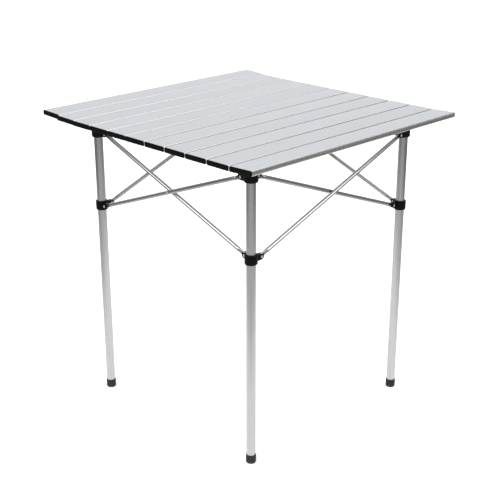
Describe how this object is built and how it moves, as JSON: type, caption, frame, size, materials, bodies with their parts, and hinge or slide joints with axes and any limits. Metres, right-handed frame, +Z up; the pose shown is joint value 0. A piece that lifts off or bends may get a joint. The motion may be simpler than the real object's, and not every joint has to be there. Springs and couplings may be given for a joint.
{
  "type": "folding table",
  "caption": "Square camping table with a roll-up slatted aluminium top on four tube legs, held apart by crossed scissor braces between top fittings and sliding collars.",
  "frame": {"origin": "on the ground, under the middle of the top", "axes": "+Z up; +X along the slats; +Y across the slats, towards slat_01"},
  "size_m": [0.676, 0.7028, 0.724],
  "materials": {
    "slat_aluminium": "satin anodised silver with a fine grain along the slat",
    "cap_plastic": "moulded black, slightly glossy",
    "leg_tube": "drawn aluminium tube, satin",
    "brace_tube": "drawn aluminium tube, satin",
    "fitting_plastic": "moulded black nylon, fine texture",
    "foot_rubber": "matt black rubber",
    "rivet_steel": "bright rivet heads"
  },
  "bodies": {
    "leg_front": {"leg_front": "leg_tube", "foot_front": "foot_rubber", "top_fitting_front": "fitting_plastic"},
    "leg_left": {"leg_left": "leg_tube", "foot_left": "foot_rubber", "top_fitting_left": "fitting_plastic"},
    "leg_back": {"leg_back": "leg_tube", "foot_back": "foot_rubber", "top_fitting_back": "fitting_plastic"},
    "leg_right": {"leg_right": "leg_tube", "foot_right": "foot_rubber", "top_fitting_right": "fitting_plastic"},
    "collar_front": {"collar_front": "fitting_plastic"},
    "collar_left": {"collar_left": "fitting_plastic"},
    "collar_back": {"collar_back": "fitting_plastic"},
    "collar_right": {"collar_right": "fitting_plastic"},
    "brace_outer_front_left": {"brace_outer_front_left": "brace_tube"},
    "brace_inner_front_left": {"brace_inner_front_left": "brace_tube"},
    "brace_outer_back_left": {"brace_outer_back_left": "brace_tube"},
    "brace_inner_back_left": {"brace_inner_back_left": "brace_tube"},
    "brace_outer_back_right": {"brace_outer_back_right": "brace_tube"},
    "brace_inner_back_right": {"brace_inner_back_right": "brace_tube"},
    "brace_outer_front_right": {"brace_outer_front_right": "brace_tube"},
    "brace_inner_front_right": {"brace_inner_front_right": "brace_tube"},
    "slat_01": {"slat_01": "slat_aluminium", "end_cap_left_01": "cap_plastic", "end_cap_right_01": "cap_plastic"},
    "slat_02": {"slat_02": "slat_aluminium", "end_cap_left_02": "cap_plastic", "end_cap_right_02": "cap_plastic"},
    "slat_03": {"slat_03": "slat_aluminium", "end_cap_left_03": "cap_plastic", "end_cap_right_03": "cap_plastic"},
    "slat_04": {"slat_04": "slat_aluminium", "end_cap_left_04": "cap_plastic", "end_cap_right_04": "cap_plastic"},
    "slat_05": {"slat_05": "slat_aluminium", "end_cap_left_05": "cap_plastic", "end_cap_right_05": "cap_plastic"},
    "slat_06": {"slat_06": "slat_aluminium", "end_cap_left_06": "cap_plastic", "end_cap_right_06": "cap_plastic"},
    "slat_07": {"slat_07": "slat_aluminium", "end_cap_left_07": "cap_plastic", "end_cap_right_07": "cap_plastic"},
    "slat_08": {"slat_08": "slat_aluminium", "end_cap_left_08": "cap_plastic", "end_cap_right_08": "cap_plastic"},
    "slat_09": {"slat_09": "slat_aluminium", "end_cap_left_09": "cap_plastic", "end_cap_right_09": "cap_plastic"},
    "slat_10": {"slat_10": "slat_aluminium", "end_cap_left_10": "cap_plastic", "end_cap_right_10": "cap_plastic"},
    "slat_11": {"slat_11": "slat_aluminium", "end_cap_left_11": "cap_plastic", "end_cap_right_11": "cap_plastic"}
  },
  "joints": [
    {"name": "frame_fold", "type": "hinge", "parent": "leg_front", "child": "brace_inner_front_right", "pos_m": [-0.2278, -0.257, 0.674], "axis": [0, 1, 0], "range_deg": [0, 65]},
    {"name": "front_right_crossing", "type": "hinge", "parent": "brace_inner_front_right", "child": "brace_outer_front_right", "pos_m": [0.0062, -0.2674, 0.586], "axis": [0, -1, 0], "range_deg": [0, 130.2]},
    {"name": "leg_right_upper_pin", "type": "hinge", "parent": "brace_outer_front_right", "child": "leg_right", "pos_m": [0.2402, -0.2674, 0.674], "axis": [0, 1, 0], "range_deg": [0, 65.1]},
    {"name": "collar_right_pin", "type": "hinge", "parent": "brace_inner_front_right", "child": "collar_right", "pos_m": [0.2402, -0.257, 0.498], "axis": [0, -1, 0], "range_deg": [0, 65.1]},
    {"name": "collar_front_pin", "type": "hinge", "parent": "brace_outer_front_right", "child": "collar_front", "pos_m": [-0.2278, -0.2674, 0.498], "axis": [0, 1, 0], "range_deg": [0, 65.1]},
    {"name": "leg_front_left_side_pin", "type": "hinge", "parent": "leg_front", "child": "brace_outer_front_left", "pos_m": [-0.255, -0.2402, 0.674], "axis": [-1, 0, 0], "range_deg": [0, 65.1]},
    {"name": "front_left_crossing", "type": "hinge", "parent": "brace_outer_front_left", "child": "brace_inner_front_left", "pos_m": [-0.255, -0.0062, 0.586], "axis": [1, 0, 0], "range_deg": [0, 130.2]},
    {"name": "leg_left_upper_pin", "type": "hinge", "parent": "brace_inner_front_left", "child": "leg_left", "pos_m": [-0.2446, 0.2278, 0.674], "axis": [-1, 0, 0], "range_deg": [0, 65.1]},
    {"name": "collar_left_pin", "type": "hinge", "parent": "brace_outer_front_left", "child": "collar_left", "pos_m": [-0.255, 0.2278, 0.498], "axis": [1, 0, 0], "range_deg": [0, 65.1]},
    {"name": "leg_left_back_side_pin", "type": "hinge", "parent": "leg_left", "child": "brace_outer_back_left", "pos_m": [-0.2278, 0.255, 0.674], "axis": [0, 1, 0], "range_deg": [0, 65.1]},
    {"name": "back_left_crossing", "type": "hinge", "parent": "brace_outer_back_left", "child": "brace_inner_back_left", "pos_m": [0.0062, 0.255, 0.586], "axis": [0, -1, 0], "range_deg": [0, 130.2]},
    {"name": "leg_right_back_side_pin", "type": "hinge", "parent": "leg_right", "child": "brace_inner_back_right", "pos_m": [0.257, -0.2402, 0.674], "axis": [-1, 0, 0], "range_deg": [0, 65.1]},
    {"name": "back_right_crossing", "type": "hinge", "parent": "brace_inner_back_right", "child": "brace_outer_back_right", "pos_m": [0.2674, -0.0062, 0.586], "axis": [1, 0, 0], "range_deg": [0, 130.2]},
    {"name": "leg_back_upper_pin", "type": "hinge", "parent": "brace_outer_back_right", "child": "leg_back", "pos_m": [0.2674, 0.2278, 0.674], "axis": [-1, 0, 0], "range_deg": [0, 65.1]},
    {"name": "collar_back_pin", "type": "hinge", "parent": "brace_inner_back_right", "child": "collar_back", "pos_m": [0.257, 0.2278, 0.498], "axis": [1, 0, 0], "range_deg": [0, 65.1]},
    {"name": "top_lift", "type": "slide", "parent": "leg_front", "child": "slat_06", "axis": [0, 0, 1], "range_m": [0, 0.46]},
    {"name": "top_roll", "type": "hinge", "parent": "slat_06", "child": "slat_05", "pos_m": [0, 0.03515, 0.724], "axis": [1, 0, 0], "range_deg": [0, 67.5]},
    {"name": "slat_hinge_04_05", "type": "hinge", "parent": "slat_05", "child": "slat_04", "pos_m": [0, 0.09845, 0.724], "axis": [1, 0, 0], "range_deg": [0, 72.7]},
    {"name": "slat_hinge_03_04", "type": "hinge", "parent": "slat_04", "child": "slat_03", "pos_m": [0, 0.16175, 0.724], "axis": [1, 0, 0], "range_deg": [0, 79.7]},
    {"name": "slat_hinge_02_03", "type": "hinge", "parent": "slat_03", "child": "slat_02", "pos_m": [0, 0.22505, 0.724], "axis": [1, 0, 0], "range_deg": [0, 89.2]},
    {"name": "slat_hinge_01_02", "type": "hinge", "parent": "slat_02", "child": "slat_01", "pos_m": [0, 0.28835, 0.724], "axis": [1, 0, 0], "range_deg": [0, 104.7]},
    {"name": "slat_hinge_06_07", "type": "hinge", "parent": "slat_06", "child": "slat_07", "pos_m": [0, -0.02885, 0.724], "axis": [-1, 0, 0], "range_deg": [0, 63.2]},
    {"name": "slat_hinge_07_08", "type": "hinge", "parent": "slat_07", "child": "slat_08", "pos_m": [0, -0.09355, 0.724], "axis": [-1, 0, 0], "range_deg": [0, 59.7]},
    {"name": "slat_hinge_08_09", "type": "hinge", "parent": "slat_08", "child": "slat_09", "pos_m": [0, -0.15825, 0.724], "axis": [-1, 0, 0], "range_deg": [0, 56.7]},
    {"name": "slat_hinge_09_10", "type": "hinge", "parent": "slat_09", "child": "slat_10", "pos_m": [0, -0.22295, 0.724], "axis": [-1, 0, 0], "range_deg": [0, 54.2]},
    {"name": "slat_hinge_10_11", "type": "hinge", "parent": "slat_10", "child": "slat_11", "pos_m": [0, -0.28765, 0.724], "axis": [-1, 0, 0], "range_deg": [0, 52.2]}
  ],
  "couplings": [
    {"joint": "front_right_crossing", "follows": "frame_fold", "ratio": 2},
    {"joint": "leg_right_upper_pin", "follows": "frame_fold", "ratio": 1},
    {"joint": "collar_right_pin", "follows": "frame_fold", "ratio": 1},
    {"joint": "collar_front_pin", "follows": "frame_fold", "ratio": 1},
    {"joint": "leg_front_left_side_pin", "follows": "frame_fold", "ratio": 1},
    {"joint": "front_left_crossing", "follows": "frame_fold", "ratio": 2},
    {"joint": "leg_left_upper_pin", "follows": "frame_fold", "ratio": 1},
    {"joint": "collar_left_pin", "follows": "frame_fold", "ratio": 1},
    {"joint": "leg_left_back_side_pin", "follows": "frame_fold", "ratio": 1},
    {"joint": "back_left_crossing", "follows": "frame_fold", "ratio": 2},
    {"joint": "leg_right_back_side_pin", "follows": "frame_fold", "ratio": 1},
    {"joint": "back_right_crossing", "follows": "frame_fold", "ratio": 2},
    {"joint": "leg_back_upper_pin", "follows": "frame_fold", "ratio": 1},
    {"joint": "collar_back_pin", "follows": "frame_fold", "ratio": 1},
    {"joint": "top_lift", "follows": "frame_fold", "m_per_rad": 0.4},
    {"joint": "slat_hinge_04_05", "follows": "top_roll", "ratio": 1.0741},
    {"joint": "slat_hinge_03_04", "follows": "top_roll", "ratio": 1.1778},
    {"joint": "slat_hinge_02_03", "follows": "top_roll", "ratio": 1.3185},
    {"joint": "slat_hinge_01_02", "follows": "top_roll", "ratio": 1.5481},
    {"joint": "slat_hinge_06_07", "follows": "top_roll", "ratio": 0.93333},
    {"joint": "slat_hinge_07_08", "follows": "top_roll", "ratio": 0.88148},
    {"joint": "slat_hinge_08_09", "follows": "top_roll", "ratio": 0.83704},
    {"joint": "slat_hinge_09_10", "follows": "top_roll", "ratio": 0.8},
    {"joint": "slat_hinge_10_11", "follows": "top_roll", "ratio": 0.77037}
  ]
}
